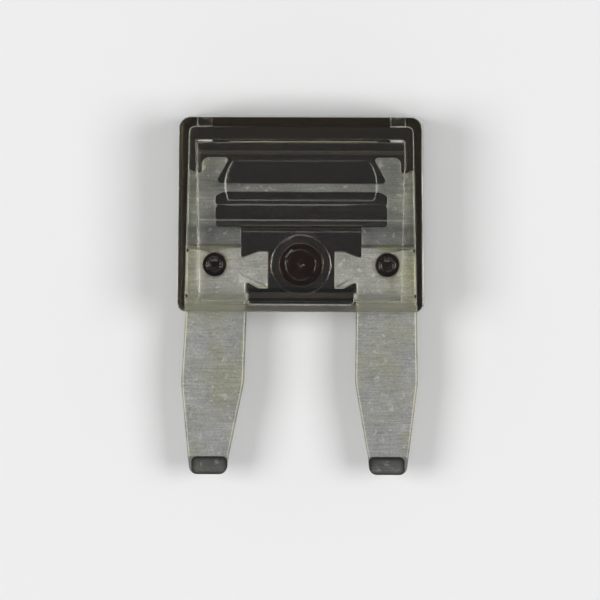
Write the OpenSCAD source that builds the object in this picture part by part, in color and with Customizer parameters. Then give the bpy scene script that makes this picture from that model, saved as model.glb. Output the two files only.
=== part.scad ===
// Miniature automotive blade fuse, lying on its back with the closed end of the housing towards +Y.
// Millimetres. The origin is the middle of the footprint, on the surface that the fuse rests on.

/* [Housing] */
// Width at the open end, over the parting line
housing_w = 11.2; // [10.8:0.05:13]
// Height from the open end to the closed end
housing_h = 8.85; // [8.4:0.05:11]
// Depth from face to face
housing_d = 3.6; // [3.4:0.05:5]
// Lean of the left and right sides from the open end to the closed end, in degrees
side_draft = 0.45; // [0:0.05:1]
// Lean of the outer sides from the parting line to each face, in degrees
face_draft = 2; // [0.5:0.5:4]
// Corner radius of the closed end, at the parting line
corner_r = 0.6; // [0.2:0.05:1.5]
// Corner radius of the open end, at the parting line
mouth_corner_r = 0.42; // [0.2:0.02:1]
// Straight strip left at the parting line
parting_land = 0.12; // [0.05:0.01:0.3]
// Straight strip left at each face
face_land = 0.12; // [0.02:0.01:0.15]

/* [Cavity] */
// Side wall at the closed end
side_wall = 0.46; // [0.3:0.01:0.5]
// Side wall at the open end
mouth_wall = 0.33; // [0.2:0.01:0.4]
// Thickness of the closed end
roof = 0.49; // [0.3:0.01:0.8]
// Corner radius of the cavity at the closed end
cavity_corner_r = 0.25; // [0.1:0.05:0.5]
// Room between a blade and the wall in front of it or behind it
blade_clearance = 0.1; // [0.04:0.01:0.15]
// Room between the thinned metal and the wall in front of it or behind it
web_clearance = 0.14; // [0.08:0.01:0.15]
// Height above the open end at which the cavity has narrowed to the thinned metal
narrow_y = 4.08; // [3.9:0.02:4.4]
// Run of the slope by which it narrows
narrow_run = 0.44; // [0.2:0.02:0.6]
// Room between the stamping's outer edges and the side walls
side_clearance = 0.03; // [0.02:0.01:0.1]
// How far the mouth of the cavity flares towards each face
mouth_flare = 0.2; // [0.05:0.01:0.3]
// Height of the flare
mouth_flare_h = 0.32; // [0.1:0.02:0.6]
// Width of each test opening through the closed end
test_slot_w = 0.7; // [0.4:0.05:0.9]
// Depth of each test opening, across the cavity
test_slot_d = 0.64; // [0.4:0.02:0.66]
// Distance from the side wall of the cavity to each test opening
test_slot_inset = 0.35; // [0.1:0.01:0.5]

/* [Windows] */
// Width of the rim beside the recessed window, at the closed end
rim_top_w = 0.82; // [0.6:0.02:1.1]
// Width of that rim at the open end
rim_bottom_w = 1.03; // [0.6:0.02:1.2]
// Height of the rim above the window
rim_top_h = 1.07; // [0.85:0.01:1.3]
// Height of the rim below the window
rim_bottom_h = 0.5; // [0.4:0.05:1]
// Height of the rim above the window of the back
back_rim_top_h = 1.62; // [0.85:0.01:1.8]
// Run of the slope at a window's top edge
window_slope = 0.15; // [0.05:0.01:0.3]
// Run of the slope at a window's bottom edge
sill_slope = 0.3; // [0.05:0.01:0.4]
// Height of the rim below the window's bay between the blades
bay_rim_h = 0.3; // [0.25:0.01:0.45]
// Distance of the bay's sides from the blades
bay_gap = 0.08; // [0.05:0.01:0.4]
// Corner radius of the bay
bay_r = 0.2; // [0.05:0.01:0.3]
// Corner radius of the window
window_corner_r = 0.12; // [0.05:0.01:0.4]
// Height of the shallow panel over the link
link_panel_h = 3.0; // [2.8:0.02:3.2]
// Run of the slope from that panel down to the deep panel over the blades
ledge_run = 0.62; // [0.3:0.02:0.8]
// Front wall over the link
link_wall = 0.76; // [0.7:0.02:0.9]
// Front wall over the blades
blade_wall = 0.36; // [0.3:0.02:0.5]
// Back wall behind the whole window
back_wall = 1.0; // [0.5:0.02:1.1]
// Height of the bow-ended recess over the link
pocket_h = 1.78; // [1.5:0.02:1.9]
// Distance of its top edge from the window's top edge
pocket_drop = 0.98; // [0.8:0.02:1.1]
// Distance of its ends from the legs of the element
pocket_gap = 0.46; // [0.3:0.02:1]
// Radius of its bowed ends
pocket_bow_r = 1.75; // [1.2:0.05:4]
// How far the middle of its bowed ends lies below its own middle
pocket_bow_drop = 0.18; // [0:0.02:0.3]
// Front wall left under it
pocket_wall = 0.5; // [0.35:0.01:0.6]

/* [Gate post and stakes] */
// Diameter of the post that joins the two walls between the blades
post_dia = 1.93; // [1.2:0.01:2.2]
// Height of the post, the stakes and the stake holes above the open end
stake_y = 2.1; // [1.6:0.05:2.25]
// Distance of each stake from its blade's inner edge at the mouth
stake_inset = 1.42; // [1.3:0.02:1.5]
// Diameter of the raised pad on the front of the post
pad_dia = 2.7; // [2.2:0.05:2.9]
// Height of the pad
pad_h = 0.1; // [0.04:0.01:0.2]
// Diameter of the gate well in the pad
well_dia = 1.36; // [0.8:0.02:1.6]
// Depth of the gate well
well_depth = 0.18; // [0.05:0.01:0.3]
// Diameter of the gate's stub
stub_dia = 0.24; // [0.1:0.02:0.4]
// Height of the stub above the bottom of the well
stub_h = 0.12; // [0.05:0.01:0.2]
// Diameter of the hole for the stake in each blade
stake_hole_dia = 1.08; // [0.9:0.02:1.3]
// Room round the stake in its hole
stake_fit = 0.03; // [0.01:0.01:0.08]
// Diameter of the punch mark over each stake
punch_dia = 0.72; // [0.7:0.02:0.98]
// Diameter at the bottom of the punch mark
punch_bottom_dia = 0.54; // [0.2:0.02:0.66]
// Depth of the punch mark
punch_depth = 0.08; // [0.04:0.01:0.28]

/* [Blades] */
// Thickness of the blades
blade_t = 0.8; // [0.7:0.02:0.9]
// Width of each blade where its taper starts
blade_w = 2.84; // [2.7:0.02:2.9]
// Width of each blade at the mouth of the housing
blade_mouth_w = 2.75; // [2.6:0.01:2.8]
// How far each blade's inner edge leans out, from the mouth to its taper
blade_lean = 0.04; // [0:0.01:0.08]
// Length of the blades below the housing
blade_out = 7.45; // [6:0.05:9]
// Length of the part of each blade below the housing that is not tapered
straight_out = 3.3; // [2:0.05:3.9]
// Radius at which the taper starts
taper_r = 3; // [0.5:0.5:5]
// Height of the coined bevel at each tip
coin_h = 0.85; // [0.4:0.05:1.2]
// Width of the blade where the bevel starts
coin_w = 1.86; // [1.4:0.02:2.2]
// Radius at which the bevel starts
coin_r = 1; // [0.2:0.1:2]
// Width of the flat end of the tip
tip_w = 1.64; // [1:0.02:1.8]
// Thickness of the blade at its tip
tip_t = 0.36; // [0.2:0.02:0.6]
// Distance of each tip's middle from the blade's inner edge at the mouth
tip_offset = 1.6; // [1.4:0.02:1.7]
// Radius of the corners of the tip
tip_r = 0.36; // [0.1:0.02:0.4]

/* [Tabs] */
// Length of each tab, from the blade to the tab's end
tab_l = 0.98; // [0.8:0.02:1.2]
// Height of a tab at its end
tab_end_h = 1.68; // [1.4:0.02:1.8]
// Height of a tab at its neck
tab_neck_h = 1.1; // [0.8:0.02:1.3]
// Length of the part of a tab that has its full height
tab_flat_l = 0.42; // [0.2:0.02:0.6]
// Height of the tabs' middle above the open end
tab_y = 1.85; // [1.7:0.02:2]
// Radius of the sheared corners of a tab's end
tab_r = 0.04; // [0.01:0.01:0.1]
// Diameter of the feed nicks in the blades' outer edges
nick_dia = 0.2; // [0.1:0.02:0.3]
// Height of the lower feed nicks above the open end
nick_low = 0.68; // [0.5:0.02:0.9]
// Height of the upper feed nicks above the open end
nick_high = 2.74; // [2.5:0.02:2.8]

/* [Link] */
// Thickness of the thinned metal above the blades
web_t = 0.4; // [0.3:0.02:0.6]
// Height of the thickness step above the open end
step_y = 3.0; // [2.9:0.02:3.1]
// Run of the slope at the thickness step
step_slope = 0.14; // [0.05:0.01:0.2]
// Width of each leg at the link
leg_w = 1.22; // [1.1:0.01:1.4]
// Width of each leg's head, above the link
head_w = 1.27; // [1.1:0.01:1.4]
// How far the head stands in from the stamping's outer edge
head_inset = 0.56; // [0.4:0.01:0.7]
// Height of the head, down to the foot of its outer edge
head_h = 0.8; // [0.6:0.02:1]
// Rise from that foot to the stamping's outer edge
head_rise = 0.25; // [0.1:0.01:0.4]
// Room between each leg's head and the closed end
leg_room = 1.4; // [0.8:0.02:1.6]
// How far the inner edge above the tab stands in from the blade's inner edge
waist_inset = 0.24; // [0.1:0.01:0.4]
// Height of the shoulder above the thickness step
shoulder_h = 0.87; // [0.6:0.01:1.1]
// Height of the link itself
link_h = 0.4; // [0.2:0.02:0.6]
// Distance of the link's lower edge from the lower edge of the recess over it
link_up = 0.36; // [0.2:0.02:0.7]
// Width of the gusset under each end of the link
gusset_w = 0.36; // [0.1:0.02:0.5]
// Height of that gusset
gusset_h = 0.18; // [0.06:0.02:0.3]
// Radius of the outer top corners of the legs
leg_r = 0.34; // [0.1:0.02:0.5]
// Radius of the inner corners of the stamping
inner_r = 0.14; // [0.06:0.02:0.18]
// Radius of the sheared outer corners of the stamping
sheared_r = 0.07; // [0.02:0.01:0.1]

/* [Hidden] */
$fn = 48;
arc_steps = 6;
over = 1;
// Share of an outline's side that one rounded corner may take
corner_share = 0.48;
middle_y = (housing_h - blade_out) / 2;
half_d = housing_d / 2;
housing_top_w = housing_w - 2 * housing_h * tan(side_draft);
draft_in = (half_d - parting_land / 2 - face_land) * tan(face_draft);
cavity_half = blade_t / 2 + blade_clearance;
web_half = web_t / 2 + web_clearance;
cavity_mouth_x = housing_w / 2 - mouth_wall;
cavity_top_x = housing_top_w / 2 - side_wall;
cavity_top = housing_h - roof;
window_top = housing_h - rim_top_h;
pocket_to = window_top - pocket_drop;
pocket_from = pocket_to - pocket_h;
// The stamping, on the right of the centre line
blade_in_x = edge_x(0) - blade_mouth_w;
taper_in_x = blade_in_x + blade_lean;
tip_x = blade_in_x + tip_offset;
stake_x = blade_in_x + stake_inset;
leg_top = cavity_top - leg_room;
head_x = edge_x(leg_top) - head_inset;
link_y = pocket_from + link_up;
leg_in_x = edge_x(link_y) - leg_w;

// Outer edge of the stamping at the height y above the open end, along the cavity's side wall
function edge_x(y) = cavity_mouth_x - (cavity_mouth_x - cavity_top_x) * y / cavity_top - side_clearance;

// A corner p of an outline, between the points a and b, rounded to p's own radius p[2].
// The radius is limited to what the two sides leave room for.
function corner(p, a, b) =
    let (
        to_a = [a[0] - p[0], a[1] - p[1]],
        to_b = [b[0] - p[0], b[1] - p[1]],
        ua = to_a / norm(to_a),
        ub = to_b / norm(to_b),
        half = acos(max(-1, min(1, ua * ub))) / 2,
        room = corner_share * min(norm(to_a), norm(to_b)) * tan(half),
        r = min(p[2], room),
        middle = (ua + ub) / norm(ua + ub),
        centre = [p[0], p[1]] + middle * r / sin(half),
        from_centre = [p[0], p[1]] - centre,
        first = from_centre + ua * r / tan(half),
        last = from_centre + ub * r / tan(half),
        start = atan2(first[1], first[0]),
        stop = atan2(last[1], last[0]),
        turn = stop - start,
        sweep = turn > 180 ? turn - 360 : turn < -180 ? turn + 360 : turn
    )
    r <= 0 ? [[p[0], p[1]]] : [
        for (i = [0:arc_steps])
            let (angle = start + sweep * i / arc_steps)
            centre + r * [cos(angle), sin(angle)]
    ];

// An outline from points [x, y, radius]
function rounded(points) =
    let (n = len(points))
    [for (i = [0:n - 1]) each corner(points[i], points[(i + n - 1) % n], points[(i + 1) % n])];

// A flat outline as a plate, from z = low to z = high
module plate(low, high) {
    translate([0, 0, low]) linear_extrude(high - low) children();
}

// A side profile, drawn with x along the fuse and y through its depth, as a bar across the whole width
module bar() {
    rotate([90, 0, 90]) linear_extrude(2 * housing_w, center = true) children();
}

// The same shape on the left and on the right
module both_sides() {
    for (side = [0, 1]) mirror([side, 0, 0]) children();
}

// Outer outline of the housing, drawn in by the draft
module housing_outline(inset) {
    low = housing_w / 2 - inset;
    high = housing_top_w / 2 - inset;
    top = housing_h - inset;
    polygon(rounded([
        [-low, 0, mouth_corner_r - inset], [low, 0, mouth_corner_r - inset],
        [high, top, corner_r - inset], [-high, top, corner_r - inset],
    ]));
}

// Solid block, widest at the parting line and drawn in by the draft towards each face
module drafted_block() {
    hull() {
        plate(-half_d, face_land - half_d) housing_outline(draft_in);
        plate(-parting_land / 2, parting_land / 2) housing_outline(0);
        plate(half_d - face_land, half_d) housing_outline(draft_in);
    }
}

module window_outline() {
    low = housing_w / 2 - rim_bottom_w;
    high = housing_top_w / 2 - rim_top_w;
    polygon(rounded([
        [-low, rim_bottom_h, window_corner_r], [low, rim_bottom_h, window_corner_r],
        [high, window_top, window_corner_r], [-high, window_top, window_corner_r],
    ]));
}

// Window recess of the front, with a deeper panel over the blades than over the link
module front_window() {
    deep = cavity_half + blade_wall;
    shallow = web_half + link_wall;
    ledge_to = window_top - link_panel_h;
    intersection() {
        plate(0, half_d + over) window_outline();
        bar() polygon([
            [rim_bottom_h, half_d + over], [rim_bottom_h, half_d], [rim_bottom_h + sill_slope, deep],
            [ledge_to - ledge_run, deep], [ledge_to, shallow],
            [window_top - window_slope, shallow], [window_top, half_d], [window_top, half_d + over],
        ]);
    }
}

// Bay between the blades, by which the front's deep panel reaches further down
module window_bay() {
    side = blade_in_x - bay_gap;
    top = rim_bottom_h + sill_slope;
    plate(cavity_half + blade_wall, half_d + over) polygon(rounded([
        [-side, bay_rim_h, bay_r], [side, bay_rim_h, bay_r], [side, top, 0], [-side, top, 0],
    ]));
}

// Window recess of the back, one plain panel
module back_window() {
    floor_z = -cavity_half - back_wall;
    top = housing_h - back_rim_top_h;
    intersection() {
        plate(-half_d - over, 0) window_outline();
        bar() polygon([
            [rim_bottom_h, -half_d - over], [rim_bottom_h, -half_d], [rim_bottom_h + sill_slope, floor_z],
            [top - window_slope, floor_z], [top, -half_d], [top, -half_d - over],
        ]);
    }
}

// Bow-ended recess over the link
module link_pocket() {
    plate(web_half + pocket_wall, half_d + over) translate([0, pocket_to - pocket_h / 2]) intersection() {
        square([2 * (leg_in_x - pocket_gap), pocket_h], center = true);
        bowed_end(-1);
        bowed_end(1);
    }
}

// One bowed end of the recess, with a band that runs on from it past the other end
module bowed_end(side) {
    end_x = leg_in_x - pocket_gap;
    translate([side * (end_x - pocket_bow_r), -pocket_bow_drop]) circle(pocket_bow_r);
    translate([-side * pocket_bow_r, -pocket_bow_drop]) square([2 * end_x, 2 * pocket_bow_r], center = true);
}

// Room for the fuse element, open downwards, with a flared mouth, narrower over the thinned metal
module cavity() {
    flare = cavity_half + mouth_flare;
    beyond = mouth_flare / mouth_flare_h * over;
    intersection() {
        plate(-half_d, half_d) polygon(rounded([
            [-cavity_mouth_x, -over, 0], [cavity_mouth_x, -over, 0], [cavity_mouth_x, 0, 0],
            [cavity_top_x, cavity_top, cavity_corner_r], [-cavity_top_x, cavity_top, cavity_corner_r],
            [-cavity_mouth_x, 0, 0],
        ]));
        bar() polygon([
            [-over, -flare - beyond], [mouth_flare_h, -cavity_half], [narrow_y - narrow_run, -cavity_half],
            [narrow_y, -web_half], [housing_h, -web_half], [housing_h, web_half], [narrow_y, web_half],
            [narrow_y - narrow_run, cavity_half], [mouth_flare_h, cavity_half], [-over, flare + beyond],
        ]);
    }
}

module test_slot() {
    translate([cavity_top_x - test_slot_inset - test_slot_w, cavity_top - over, -test_slot_d / 2])
        cube([test_slot_w, roof + 2 * over, test_slot_d]);
}

// Punch mark of a stake, sunk into a wall whose outer surface is at z = surface
module punch_mark(surface) {
    translate([stake_x, stake_y, surface - punch_depth])
        cylinder(h = punch_depth, d1 = punch_bottom_dia, d2 = punch_dia);
    translate([stake_x, stake_y, surface]) cylinder(h = over, d = punch_dia);
}

module post_and_pad() {
    front = cavity_half + blade_wall;
    translate([0, stake_y, -cavity_half - back_wall / 2])
        cylinder(h = front + cavity_half + back_wall / 2, d = post_dia);
    translate([0, stake_y, cavity_half + blade_wall / 2]) cylinder(h = blade_wall / 2 + pad_h, d = pad_dia);
}

module gate_well() {
    floor_z = cavity_half + blade_wall + pad_h - well_depth;
    translate([0, stake_y, floor_z]) difference() {
        cylinder(h = half_d, d = well_dia);
        translate([0, 0, -over]) cylinder(h = over + stub_h, d = stub_dia);
    }
}

// Stakes that run through the blades' holes and join the front wall to the back wall
module stakes() {
    reach = cavity_half + min(blade_wall, back_wall) / 2;
    both_sides() translate([stake_x, stake_y, -reach])
        cylinder(h = 2 * reach, d = stake_hole_dia - 2 * stake_fit);
}

module housing() {
    front = cavity_half + blade_wall;
    back = cavity_half + back_wall;
    color("saddlebrown") translate([0, -middle_y, half_d]) difference() {
        union() {
            difference() {
                drafted_block();
                front_window();
                window_bay();
                back_window();
                link_pocket();
                cavity();
                both_sides() test_slot();
            }
            post_and_pad();
            stakes();
        }
        gate_well();
        both_sides() punch_mark(front);
        both_sides() mirror([0, 0, 1]) punch_mark(back);
    }
}

// One blade with its tab and its leg, on the right of the centre line, and the link up to that line
module blade_outline() {
    coin_y = coin_h - blade_out;
    tab_end_x = blade_in_x - tab_l;
    tab_flat_x = tab_end_x + tab_flat_l;
    waist_x = blade_in_x + waist_inset;
    shoulder_y = step_y + shoulder_h;
    head_foot = leg_top - head_h;
    leg_edge_y = head_foot + head_rise;
    polygon(rounded([
        [blade_in_x, 0, 0], [taper_in_x, -straight_out, taper_r],
        [tip_x - coin_w / 2, coin_y, coin_r], [tip_x - tip_w / 2, -blade_out, tip_r],
        [tip_x + tip_w / 2, -blade_out, tip_r], [tip_x + coin_w / 2, coin_y, coin_r],
        [taper_in_x + blade_w, -straight_out, taper_r], [edge_x(0), 0, 0],
        [edge_x(leg_edge_y), leg_edge_y, sheared_r], [head_x, head_foot, inner_r],
        [head_x, leg_top, leg_r], [head_x - head_w, leg_top, inner_r],
        [leg_in_x, link_y + link_h, inner_r], [-over, link_y + link_h, 0], [-over, link_y, 0],
        [leg_in_x - gusset_w, link_y, sheared_r], [leg_in_x, link_y - gusset_h, inner_r],
        [leg_in_x, shoulder_y, inner_r],
        [waist_x, shoulder_y, sheared_r], [waist_x, tab_y + tab_neck_h / 2, sheared_r],
        [tab_flat_x, tab_y + tab_end_h / 2, inner_r], [tab_end_x, tab_y + tab_end_h / 2, tab_r],
        [tab_end_x, tab_y - tab_end_h / 2, tab_r], [tab_flat_x, tab_y - tab_end_h / 2, inner_r],
        [blade_in_x, tab_y - tab_neck_h / 2, sheared_r],
    ]));
}

// Outline of the whole stamping
module element_outline() {
    both_sides() difference() {
        blade_outline();
        translate([stake_x, stake_y]) circle(d = stake_hole_dia);
        for (y = [nick_low, nick_high]) translate([edge_x(y), y]) circle(d = nick_dia);
    }
}

// Thickness of the stamping along its height: coined tips, full blades, thinned legs and link
module thickness_profile() {
    polygon([
        [-blade_out, -tip_t / 2], [coin_h - blade_out, -blade_t / 2], [step_y - step_slope, -blade_t / 2],
        [step_y, -web_t / 2], [leg_top + over, -web_t / 2], [leg_top + over, web_t / 2],
        [step_y, web_t / 2], [step_y - step_slope, blade_t / 2], [coin_h - blade_out, blade_t / 2],
        [-blade_out, tip_t / 2],
    ]);
}

module fuse_element() {
    color("silver") translate([0, -middle_y, half_d]) intersection() {
        plate(-blade_t, blade_t) element_outline();
        bar() thickness_profile();
    }
}

housing();
fuse_element();
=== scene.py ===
import math

import bmesh
import bpy
from mathutils import Matrix, Vector


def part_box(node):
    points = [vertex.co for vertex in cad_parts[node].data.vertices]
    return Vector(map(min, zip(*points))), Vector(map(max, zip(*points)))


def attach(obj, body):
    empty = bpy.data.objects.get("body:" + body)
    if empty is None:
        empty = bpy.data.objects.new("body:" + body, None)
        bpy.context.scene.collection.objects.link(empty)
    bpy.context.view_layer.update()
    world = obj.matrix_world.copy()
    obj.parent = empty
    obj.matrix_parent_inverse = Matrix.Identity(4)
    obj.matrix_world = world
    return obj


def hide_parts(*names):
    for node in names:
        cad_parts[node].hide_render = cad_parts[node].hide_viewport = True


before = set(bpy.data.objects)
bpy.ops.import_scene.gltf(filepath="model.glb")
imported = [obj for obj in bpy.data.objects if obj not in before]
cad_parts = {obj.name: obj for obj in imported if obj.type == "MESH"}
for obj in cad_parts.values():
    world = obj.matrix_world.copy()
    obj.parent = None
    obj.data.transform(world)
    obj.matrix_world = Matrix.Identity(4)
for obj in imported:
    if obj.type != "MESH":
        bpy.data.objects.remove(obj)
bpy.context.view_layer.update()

# The fuse element: one stamping of rolled zinc alloy strip, thinned above the blades, with the stubs of the
# tie bars between the blades. The die rounds its edges, and then the press bevels the tips of the blades.
# The fuse lies on its back, with the blades towards -Y and its front face up.
MM = 0.001
BODY = "root"
housing_low, housing_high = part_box("housing")
mouth_y, closed_y = housing_low.y, housing_high.y
element_low, element_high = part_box("fuse_element")
tip_y = element_low.y
middle_z = (element_low.z + element_high.z) / 2
blade_t = element_high.z - element_low.z


def weld(mesh, gap):
    """Joins corners that are closer than the gap, and makes each flat face whole again."""
    flat_angle = math.radians(0.6)
    shape = bmesh.new()
    shape.from_mesh(mesh)
    bmesh.ops.remove_doubles(shape, verts=shape.verts, dist=gap)
    bmesh.ops.dissolve_limit(shape, angle_limit=flat_angle, verts=shape.verts, edges=shape.edges)
    shape.to_mesh(mesh)
    shape.free()


def from_cad(node, name, gap):
    """A new piece that starts as a clean copy of a node's shape."""
    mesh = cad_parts[node].data.copy()
    mesh.name = name
    mesh.materials.clear()
    weld(mesh, gap)
    piece = bpy.data.objects.new(name, mesh)
    bpy.context.scene.collection.objects.link(piece)
    return piece


strip_gap = 0.015 * MM
stamping = from_cad("fuse_element", "fuse_stamping", strip_gap)

# The tips and the feed nicks are first made whole, and the press cuts them again in the rounded blades.
coin_h, tip_t = 0.85 * MM, 0.36 * MM
nick_r, nick_heights, nick_side_x = 0.1 * MM, (0.68 * MM, 2.74 * MM), 4.5 * MM
for corner in stamping.data.vertices:
    if corner.co.y < tip_y + coin_h - 0.02 * MM:
        corner.co.z = middle_z + math.copysign(blade_t / 2, corner.co.z - middle_z)
nicks = []
for nick_height in nick_heights:
    rim = [corner for corner in stamping.data.vertices if corner.co.x > nick_side_x
           and abs(corner.co.y - mouth_y - nick_height) < nick_r + 0.01 * MM]
    rim.sort(key=lambda corner: corner.co.y)
    low, high = rim[0].co.copy(), rim[-1].co.copy()
    for corner in rim:
        share = (corner.co.y - low.y) / (high.y - low.y)
        corner.co.x = low.x + share * (high.x - low.x)
    nicks += [(side * (low.x + high.x) / 2, (low.y + high.y) / 2) for side in (-1, 1)]
weld(stamping.data, strip_gap)

# The stamping is the same left and right, so its right half is shaped and then mirrored.
half = bmesh.new()
half.from_mesh(stamping.data)
bmesh.ops.bisect_plane(half, geom=half.verts[:] + half.edges[:] + half.faces[:], plane_co=(0, 0, 0),
                       plane_no=(1, 0, 0), clear_inner=True)
half.to_mesh(stamping.data)
half.free()

crease_r, thinned_r, blade_r, side_r, tab_r = 0.03 * MM, 0.05 * MM, 0.11 * MM, 0.07 * MM, 0.035 * MM
bare_y, tab_neck_y, side_x = mouth_y + 0.6 * MM, mouth_y + 1.3 * MM, 4.7 * MM


def die_edge(edge):
    """Width that the die has rounded one edge of the strip by, between a flat side and a cut side."""
    if len(edge.link_faces) < 2:
        return 0
    tilts = sorted(abs(face.normal.z) for face in edge.link_faces)
    flat, crease_fold = 0.4, 30
    if tilts[0] > flat:
        return crease_r if math.degrees(edge.calc_face_angle(0)) > crease_fold else 0
    if tilts[1] < flat:
        return 0
    middle = (edge.verts[0].co + edge.verts[1].co) / 2
    if abs(middle.z - middle_z) < blade_t * 0.4:
        return thinned_r
    outer = abs(middle.x) > side_x
    if middle.y < (bare_y if outer else tab_neck_y):
        return blade_r
    return side_r if outer else tab_r


def apply_modifiers(piece):
    """Makes the modifiers' result the piece's own mesh."""
    bpy.context.view_layer.update()
    seen = piece.evaluated_get(bpy.context.evaluated_depsgraph_get())
    mesh = bpy.data.meshes.new_from_object(seen)
    piece.modifiers.clear()
    piece.data = mesh


def round_edges(piece, width_of, segments):
    """Rounds each edge by the width that width_of gives it."""
    shape = bmesh.new()
    shape.from_mesh(piece.data)
    share = shape.edges.layers.float.new("bevel_weight_edge")
    widths = {edge: width_of(edge) for edge in shape.edges}
    widest = max(widths.values())
    for edge, width in widths.items():
        edge[share] = width / widest
    shape.to_mesh(piece.data)
    shape.free()
    bevel = piece.modifiers.new("edges", "BEVEL")
    bevel.width = widest
    bevel.segments = segments
    bevel.limit_method = "WEIGHT"
    bevel.use_clamp_overlap = False
    bevel.loop_slide = False
    bevel.miter_outer = "MITER_ARC"
    apply_modifiers(piece)


def triangulate(piece):
    """Cuts the faces with more than four corners into triangles."""
    shape = bmesh.new()
    shape.from_mesh(piece.data)
    bmesh.ops.remove_doubles(shape, verts=shape.verts, dist=0.001 * MM)
    bmesh.ops.triangulate(shape, faces=[face for face in shape.faces if len(face.verts) > 4])
    shape.to_mesh(piece.data)
    shape.free()


round_edges(stamping, die_edge, 5)
triangulate(stamping)
mirror = stamping.modifiers.new("left_half", "MIRROR")
mirror.merge_threshold = 0.002 * MM
apply_modifiers(stamping)


def press_tools():
    """What the press takes off: wedges over the tips, front and back, and nicks in the outer edges."""
    reach, over = 6 * MM, 0.5
    rise = (blade_t - tip_t) / 2
    corners, faces = [], []
    for side in (1, -1):
        top = (tip_y + coin_h * (1 + over), middle_z + side * (blade_t / 2 + rise * over))
        end = (tip_y - coin_h * over, middle_z + side * (tip_t / 2 - rise * over))
        clear = middle_z + side * blade_t
        profile = (top, end, (end[0], clear), (top[0], clear))
        start = len(corners)
        corners += [(x, y, z) for x in (-reach, reach) for y, z in profile]
        near, far = list(range(start, start + 4)), list(range(start + 4, start + 8))
        faces += [near, far[::-1]]
        faces += [(near[i], near[i - 1], far[i - 1], far[i]) for i in range(4)]
    sides = 16
    turns = [2 * math.pi * i / sides for i in range(sides)]
    for x, y in nicks:
        start = len(corners)
        corners += [(x + nick_r * math.cos(turn), y + nick_r * math.sin(turn), middle_z + z)
                    for z in (-blade_t, blade_t) for turn in turns]
        low_ring = list(range(start, start + sides))
        high_ring = list(range(start + sides, start + 2 * sides))
        faces += [low_ring[::-1], high_ring]
        faces += [(low_ring[i - 1], low_ring[i], high_ring[i], high_ring[i - 1]) for i in range(sides)]
    mesh = bpy.data.meshes.new("press_tools")
    mesh.from_pydata(corners, [], faces)
    shape = bmesh.new()
    shape.from_mesh(mesh)
    bmesh.ops.recalc_face_normals(shape, faces=shape.faces)
    shape.to_mesh(mesh)
    shape.free()
    tools = bpy.data.objects.new("press_tools", mesh)
    bpy.context.scene.collection.objects.link(tools)
    return tools


tools = press_tools()
cut = stamping.modifiers.new("press", "BOOLEAN")
cut.operation = "DIFFERENCE"
cut.solver = "EXACT"
cut.object = tools
apply_modifiers(stamping)
bpy.data.objects.remove(tools)


def shade(piece, sharp_from, is_facet=lambda face: False):
    """Shades the rounded edges smooth, weighed by area so that flats stay flat, with crisp facets."""
    piece.data.shade_smooth()
    piece.data.set_sharp_from_angle(angle=math.radians(sharp_from))
    shape = bmesh.new()
    shape.from_mesh(piece.data)
    for edge in shape.edges:
        if len({is_facet(face) for face in edge.link_faces}) == 2:
            edge.smooth = False
    shape.to_mesh(piece.data)
    shape.free()
    even = piece.modifiers.new("flats", "WEIGHTED_NORMAL")
    even.keep_sharp = True
    even.weight = 100
    apply_modifiers(piece)


def is_coined(face):
    """True on the bevels of the tips, which lean towards the tips' ends."""
    low = face.calc_center_median().y < tip_y + coin_h
    return low and abs(face.normal.x) < 0.02 and -0.35 < face.normal.y < -0.15


sharp_fold = 40
shade(stamping, sharp_fold, is_coined)


def drift(y):
    """How far handling has bent the blades to the left at y, 0.13 mm at the tips."""
    out = (mouth_y - y) / (mouth_y - tip_y)
    return 0.13 * MM * out * (1.4 - 0.4 * out) if out > 0 else 0


for corner in stamping.data.vertices:
    corner.co.x -= drift(corner.co.y)


def nodes_of(owner, last="OutputMaterial"):
    """A cleared node tree with only its output, and a function that adds a node with its links."""
    owner.use_nodes = True
    tree = owner.node_tree
    tree.nodes.clear()
    output = tree.nodes.new("ShaderNode" + last)

    def add(kind, links=(), **values):
        node = tree.nodes.new("ShaderNode" + kind)
        for key, value in values.items():
            if hasattr(node, key):
                setattr(node, key, value)
            else:
                node.inputs[key.replace("_", " ")].default_value = value
        for socket, source in links:
            tree.links.new(source, node.inputs[socket])
        return node

    return tree, output, add


def ramp(add, value, start, end, low=0.0, high=1.0):
    """A number that goes from low to high as the value goes from start to end."""
    node = add("MapRange", [("Value", value)], From_Min=start, From_Max=end, To_Min=low, To_Max=high)
    return node.outputs["Result"]


def join(add, operation, first, second):
    """Two numbers multiplied or added."""
    return add("Math", [(0, first), (1, second)], operation=operation).outputs["Value"]


def vector(add, operation, first, second=(0, 0, 0)):
    """A place after one step: moved or limited by a second one, or folded to its positive side."""
    node = add("VectorMath", [(0, first)], operation=operation)
    node.inputs[1].default_value = second
    return node.outputs["Vector"]


def length(add, reach):
    """The length of a vector."""
    return add("VectorMath", [(0, reach)], operation="LENGTH").outputs["Value"]


def graded(add, value, stops):
    """A colour that passes through the stops, each a value from 0 to 1 and its colour."""
    node = add("ValToRGB", [("Fac", value)])
    elements = node.color_ramp.elements
    elements[0].position, elements[1].position = stops[0][0], stops[-1][0]
    for stop, _ in stops[1:-1]:
        elements.new(stop)
    for element, (_, colour) in zip(elements, stops):
        element.color = (*colour, 1)
    return node.outputs["Color"]


def coated(add, colour, share, coat):
    """A colour with a coat of another over it, as dense as the share."""
    return add("MixRGB", [("Fac", share), ("Color1", colour)], Color2=(*coat, 1)).outputs["Color"]


def dimmed(add, colour, light):
    """A colour made darker or lighter by a factor."""
    node = add("MixRGB", [("Color1", colour), ("Color2", light)], blend_type="MULTIPLY", Fac=1.0)
    return node.outputs["Color"]


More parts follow.
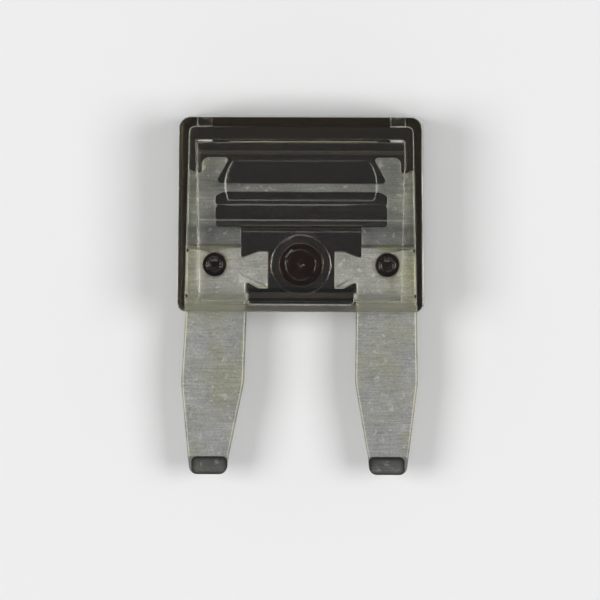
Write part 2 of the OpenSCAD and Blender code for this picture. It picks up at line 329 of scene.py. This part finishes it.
def coined_shape(add, spot):
    """How far a point of the tips lies outside the rounded outline that the coining left, in millimetres."""
    centre_x, half_w, half_h, corner_r, any_z = 4.03, 0.80, 0.40, 0.24, 100
    centre_y = tip_y + 0.41 * MM
    size = add("VectorMath", [(0, spot)], operation="SCALE", Scale=1 / MM).outputs["Vector"]
    straight = vector(add, "ADD", size, (drift(centre_y) / MM, -centre_y / MM, 0))
    folded = vector(add, "ABSOLUTE", straight)
    from_middle = vector(add, "ABSOLUTE", vector(add, "SUBTRACT", folded, (centre_x, 0, 0)))
    past_corner = vector(add, "SUBTRACT", from_middle, (half_w - corner_r, half_h - corner_r, any_z))
    distance = add("Math", [(0, length(add, vector(add, "MAXIMUM", past_corner)))], operation="SUBTRACT")
    distance.inputs[1].default_value = corner_r
    return distance.outputs["Value"]


def zinc_finish(name, light, dark, olive, edge, roughness, coined=False):
    """Rolled zinc alloy: cloudy, with fine lines across the blades, an olive film, pale specks painted as
    glints of dents, and edges painted lighter, as rubbed metal and as painted highlight.
    """
    material = bpy.data.materials.new(name)
    tree, output, add = nodes_of(material)
    place = add("TexCoord")
    spot = place.outputs["Object"]

    cloud = add("TexNoise", [("Vector", spot)], Scale=900.0, Detail=5.0, Roughness=0.6).outputs["Fac"]
    colour = graded(add, cloud, [(0.32, dark), (0.68, light)])
    film = add("TexNoise", [("Vector", spot)], Scale=420.0, Detail=3.0, Roughness=0.55).outputs["Fac"]
    colour = coated(add, colour, ramp(add, film, 0.45, 0.66, high=0.8), olive)

    strip = add("Mapping", [("Vector", spot)], Scale=(700.0, 13000.0, 420.0)).outputs["Vector"]
    lines = add("TexNoise", [("Vector", strip)], Scale=1.0, Detail=4.0, Roughness=0.7).outputs["Fac"]
    colour = dimmed(add, colour, ramp(add, lines, 0.3, 0.7, 0.80, 1.20))
    grain = add("TexNoise", [("Vector", spot)], Scale=11000.0, Detail=4.0, Roughness=0.75).outputs["Fac"]
    colour = dimmed(add, colour, ramp(add, grain, 0.3, 0.7, 0.78, 1.22))
    # Pale specks: painted glints of small dents.
    dent_glints = add("TexNoise", [("Vector", spot)], Scale=3600.0, Detail=2.0, Roughness=0.5, Distortion=0.6)
    dent_glint_share = ramp(add, dent_glints.outputs["Fac"], 0.62, 0.72, high=0.8)
    colour = coated(add, colour, dent_glint_share, (0.93, 0.93, 0.90))

    # The rounded edges are coated with the edge colour: partly rubbed metal, partly a painted highlight.
    facing = add("SeparateXYZ", [("Vector", place.outputs["Normal"])]).outputs["Z"]
    flatness = add("Math", [(0, facing)], operation="ABSOLUTE").outputs["Value"]
    rounded = ramp(add, flatness, 0.93, 0.995, 1.0, 0.0)
    rubbed_and_highlit = join(add, "MULTIPLY", rounded, ramp(add, cloud, 0.38, 0.6, low=0.1))
    colour = coated(add, colour, rubbed_and_highlit, edge)

    # The colour is darkened by height above the mouth, in millimetres: darker on the bare blades, and
    # painted shade in a band across the shoulders.
    shades = ((-0.06, 0.47), (0.04, 0.70), (0.8, 0.78), (1.2, 0.93), (2.94, 0.93), (3.0, 0.55), (3.8, 0.57),
              (4.0, 0.88), (5.1, 0.86), (5.5, 0.72), (8.85, 1.0))
    whole = closed_y - tip_y
    stops = [((mouth_y + up * MM - tip_y) / whole, (shade_there,) * 3) for up, shade_there in shades]
    y = add("SeparateXYZ", [("Vector", spot)]).outputs["Y"]
    colour = dimmed(add, colour, graded(add, ramp(add, y, tip_y, closed_y), stops))

    # Painted shade on the tips' bevels: darker towards a rounded outline and towards the blades, lighter
    # near the ends, and flat grey outside the outline, so that the bevels look rounded at their corners.
    if coined:
        outside = coined_shape(add, spot)
        rim_shade = ramp(add, outside, -0.2, -0.02, 1.0, 0.35)
        rise_shade = ramp(add, y, tip_y + 0.1 * MM, tip_y + 0.75 * MM, 1.3, 0.78)
        colour = dimmed(add, colour, join(add, "MULTIPLY", rim_shade, rise_shade))
        colour = coated(add, colour, ramp(add, outside, 0.0, 0.04), (0.33, 0.33, 0.31))

    relief = join(add, "ADD", lines, grain)
    bump = add("Bump", [("Height", relief)], Strength=0.35, Distance=0.012 * MM)
    dull = ramp(add, cloud, 0.0, 1.0, roughness - 0.08, roughness + 0.08)
    metal = add("BsdfPrincipled", [
        ("Base Color", colour),
        ("Roughness", dull),
        ("Normal", bump.outputs["Normal"]),
    ], Metallic=1.0)
    tree.links.new(metal.outputs["BSDF"], output.inputs["Surface"])
    return material


ROLLED, COINED, THINNED = range(3)
stamping.data.materials.clear()
stamping.data.materials.append(zinc_finish(
    "zinc_alloy", light=(0.74, 0.74, 0.71), dark=(0.56, 0.56, 0.53), olive=(0.60, 0.61, 0.45),
    edge=(0.92, 0.89, 0.66), roughness=0.5))
# The coined bevels are coloured much darker than the blades: painted shade.
stamping.data.materials.append(zinc_finish(
    "zinc_alloy_coined_painted_shade", light=(0.46, 0.46, 0.43), dark=(0.28, 0.28, 0.26), olive=(0.34, 0.32, 0.22),
    edge=(0.33, 0.33, 0.32), roughness=0.42, coined=True))
# The thinned part is coloured darker than the blades: painted shade of its recess.
stamping.data.materials.append(zinc_finish(
    "zinc_alloy_thinned_painted_shade", light=(0.53, 0.54, 0.53), dark=(0.39, 0.39, 0.39), olive=(0.46, 0.46, 0.41),
    edge=(0.66, 0.66, 0.62), roughness=0.45))
for face in stamping.data.polygons:
    middle = face.center
    on_bevel = middle.y < tip_y + coin_h and -0.35 < face.normal.y < -0.05
    thin = middle.y > mouth_y + 2.9 * MM and abs(middle.z - middle_z) < blade_t * 0.35
    face.material_index = ROLLED
    if on_bevel or middle.y < tip_y + 0.06 * MM:
        face.material_index = COINED
    elif thin:
        face.material_index = THINNED
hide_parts("fuse_element")
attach(stamping, BODY)

# The housing: one injection moulding of tinted polysulphone, gated at the disc between the blades. The
# stamping slides in at the open end, and the stakes pressed through the blades' holes hold it.
housing_shell = from_cad("housing", "housing_shell", 0.004 * MM)


def moulded_edge(edge):
    """Width of the rounding on one edge of the moulding, widest where a slope meets a flat across it."""
    fold = math.degrees(edge.calc_face_angle(0))
    along = (edge.verts[1].co - edge.verts[0].co).normalized()
    across = abs(along.x) > 0.999 and edge.calc_length() > 3 * MM
    if across and 12 < fold < 40:
        return 0.1 * MM
    return 0.035 * MM if fold >= 35 else 0


round_edges(housing_shell, moulded_edge, 4)
shade(housing_shell, sharp_fold)


def painted_shade_over(add, colour, share, shade_colour):
    """The plastic's colour, darkened by painted shade as far as the share goes."""
    node = add("MixRGB", [("Fac", share), ("Color1", colour)], blend_type="MULTIPLY", Color2=(*shade_colour, 1))
    return node.outputs["Color"]


def pin_painted_shade(add, colour, either_side, pin_x, radius, shade_colour):
    """The plastic's colour, darkened inside a circle at pin_x on both sides: painted shade, as seen down
    through a solid pin.
    """
    holes_y = mouth_y + 2.1 * MM
    reach = length(add, vector(add, "SUBTRACT", either_side, (pin_x, holes_y, 0)))
    return painted_shade_over(add, colour, ramp(add, reach, radius, radius + 0.06 * MM, 1.0, 0.0), shade_colour)


def housing_plastic():
    """Brown see-through plastic whose back half is painted nearly black, painted shade that makes it look
    dark on a pale floor.
    """
    material = bpy.data.materials.new("tinted_plastic")
    tree, output, add = nodes_of(material)
    spot = add("TexCoord").outputs["Object"]
    where = add("SeparateXYZ", [("Vector", spot)])
    x_out = add("Math", [(0, where.outputs["X"])], operation="ABSOLUTE").outputs["Value"]
    y, z = where.outputs["Y"], where.outputs["Z"]
    either_side = add("CombineXYZ", [("X", x_out), ("Y", y)]).outputs["Vector"]

    # Painted shade: the base colour goes from clear at the front to nearly black at the back face.
    painted_dark_back = ramp(add, z, 0.9 * MM, 2.25 * MM)
    colour = graded(add, painted_dark_back, [(0.0, (0.080, 0.056, 0.040)), (1.0, (0.98, 0.98, 0.97))])
    post_r, stake_x, stake_r = 0.97 * MM, 3.91 * MM, 0.5 * MM
    # Painted shade on the gate's post and on the stakes, where they run solid through the moulding.
    colour = pin_painted_shade(add, colour, either_side, 0, post_r, (0.62, 0.42, 0.38))
    colour = pin_painted_shade(add, colour, either_side, stake_x, stake_r, (0.30, 0.22, 0.18))
    # Painted shade: a grey band across the sill between the blades.
    sill_low = ramp(add, y, mouth_y + 0.4 * MM, mouth_y + 0.5 * MM)
    sill_high = ramp(add, y, mouth_y + 0.95 * MM, mouth_y + 1.05 * MM, 1.0, 0.0)
    between_blades = ramp(add, x_out, 2.35 * MM, 2.4 * MM, 1.0, 0.0)
    sill_shade = join(add, "MULTIPLY", join(add, "MULTIPLY", sill_low, sill_high), between_blades)
    colour = painted_shade_over(add, colour, sill_shade, (0.55, 0.56, 0.58))

    # The moulding is frosted round its mouth, and polished elsewhere, with a faint haze.
    flow = add("TexNoise", [("Vector", spot)], Scale=900.0, Detail=3.0).outputs["Fac"]
    haze = ramp(add, flow, 0.0, 1.0, 0.02, 0.07)
    at_mouth = ramp(add, y, mouth_y + 0.28 * MM, mouth_y + 0.36 * MM, 1.0, 0.0)
    below_front = ramp(add, z, 3.2 * MM, 3.3 * MM, 0.55, 0.0)
    rough = join(add, "ADD", haze, join(add, "MULTIPLY", at_mouth, below_front))
    ripple = add("Bump", [("Height", flow)], Strength=0.02, Distance=0.05 * MM)
    plastic = add("BsdfPrincipled", [
        ("Base Color", colour),
        ("Roughness", rough),
        ("Normal", ripple.outputs["Normal"]),
    ], Transmission_Weight=1.0, IOR=1.55)
    dye = add("VolumeAbsorption", Color=(0.94, 0.935, 0.87, 1), Density=1000.0)
    tree.links.new(plastic.outputs["BSDF"], output.inputs["Surface"])
    tree.links.new(dye.outputs["Volume"], output.inputs["Volume"])
    return material


housing_shell.data.materials.append(housing_plastic())
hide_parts("housing")
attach(housing_shell, BODY)

# The floor that the fuse lies on: a plain sheet of pale matt paper, wider than any view. It lies just under
# the housing's back face, and the fuse only rests on it.
floor_reach, floor_gap = 1.5, 0.02 * MM
floor_mesh = bpy.data.meshes.new("floor")
floor_mesh.from_pydata(
    [(x * floor_reach, y * floor_reach, -floor_gap) for x, y in ((-1, -1), (1, -1), (1, 1), (-1, 1))],
    [], [(0, 1, 2, 3)],
)
floor = bpy.data.objects.new("floor", floor_mesh)
bpy.context.scene.collection.objects.link(floor)
paper = bpy.data.materials.new("pale_paper")
tree, output, add = nodes_of(paper)
sheet = add("BsdfPrincipled", Base_Color=(0.85, 0.85, 0.845, 1), Roughness=0.9, Specular_IOR_Level=0.1)
tree.links.new(sheet.outputs["BSDF"], output.inputs["Surface"])
floor_mesh.materials.append(paper)

# The light: a room with pale walls low down and a dim ceiling, a large soft lamp on each side, and a small
# weak one almost overhead, which lights the bevels of the tips.
world = bpy.data.worlds.new("room")
bpy.context.scene.world = world
tree, output, add = nodes_of(world, "OutputWorld")
direction = add("TexCoord").outputs["Generated"]
upward = add("SeparateXYZ", [("Vector", direction)]).outputs["Z"]
walls = graded(add, upward, [(0.15, (0.85, 0.85, 0.84)), (0.6, (0.16, 0.16, 0.17))])
surround = add("Background", [("Color", walls)])
tree.links.new(surround.outputs["Background"], output.inputs["Surface"])


def soft_lamp(name, turn, lift, size, watts):
    """A square lamp at a turn round the fuse and a lift above the floor, both in degrees."""
    lamp_distance = 0.45
    light = bpy.data.lights.new(name, "AREA")
    light.size = size
    light.energy = watts
    lamp = bpy.data.objects.new(name, light)
    turn, lift = math.radians(turn), math.radians(lift)
    aim = Vector((math.cos(turn) * math.cos(lift), math.sin(turn) * math.cos(lift), math.sin(lift)))
    lamp.location = aim * lamp_distance
    lamp.rotation_euler = aim.to_track_quat("Z", "Y").to_euler()
    bpy.context.scene.collection.objects.link(lamp)


soft_lamp("lamp_left", 180, 52, 0.22, 0.96)
soft_lamp("lamp_right", 0, 52, 0.22, 0.96)
soft_lamp("lamp_tips", 270, 76, 0.12, 0.09)

# The camera: a long lens, looking down on the front of the fuse from a little towards its closed end and
# its right side.
camera_distance, view_width = 0.3, 27.07 * MM
lean_x, lean_y, roll = math.radians(2.0), math.radians(2.2), math.radians(0.15)
aim_point = Vector((0, -0.154 * MM, housing_high.z))
lens = bpy.data.cameras.new("camera")
lens.angle = 2 * math.atan(view_width / 2 / camera_distance)
lens.clip_start = 0.01
camera = bpy.data.objects.new("camera", lens)
away = Vector((math.tan(lean_x), math.tan(lean_y), 1)).normalized()
camera.location = aim_point + away * camera_distance
right = Vector((0, 1, 0)).cross(away).normalized()
upright = Matrix((right, away.cross(right), away)).transposed()
camera.rotation_euler = (Matrix.Rotation(roll, 3, away) @ upright).to_euler()
bpy.context.scene.collection.objects.link(camera)
bpy.context.scene.camera = camera
bpy.context.scene.view_settings.view_transform = "Standard"
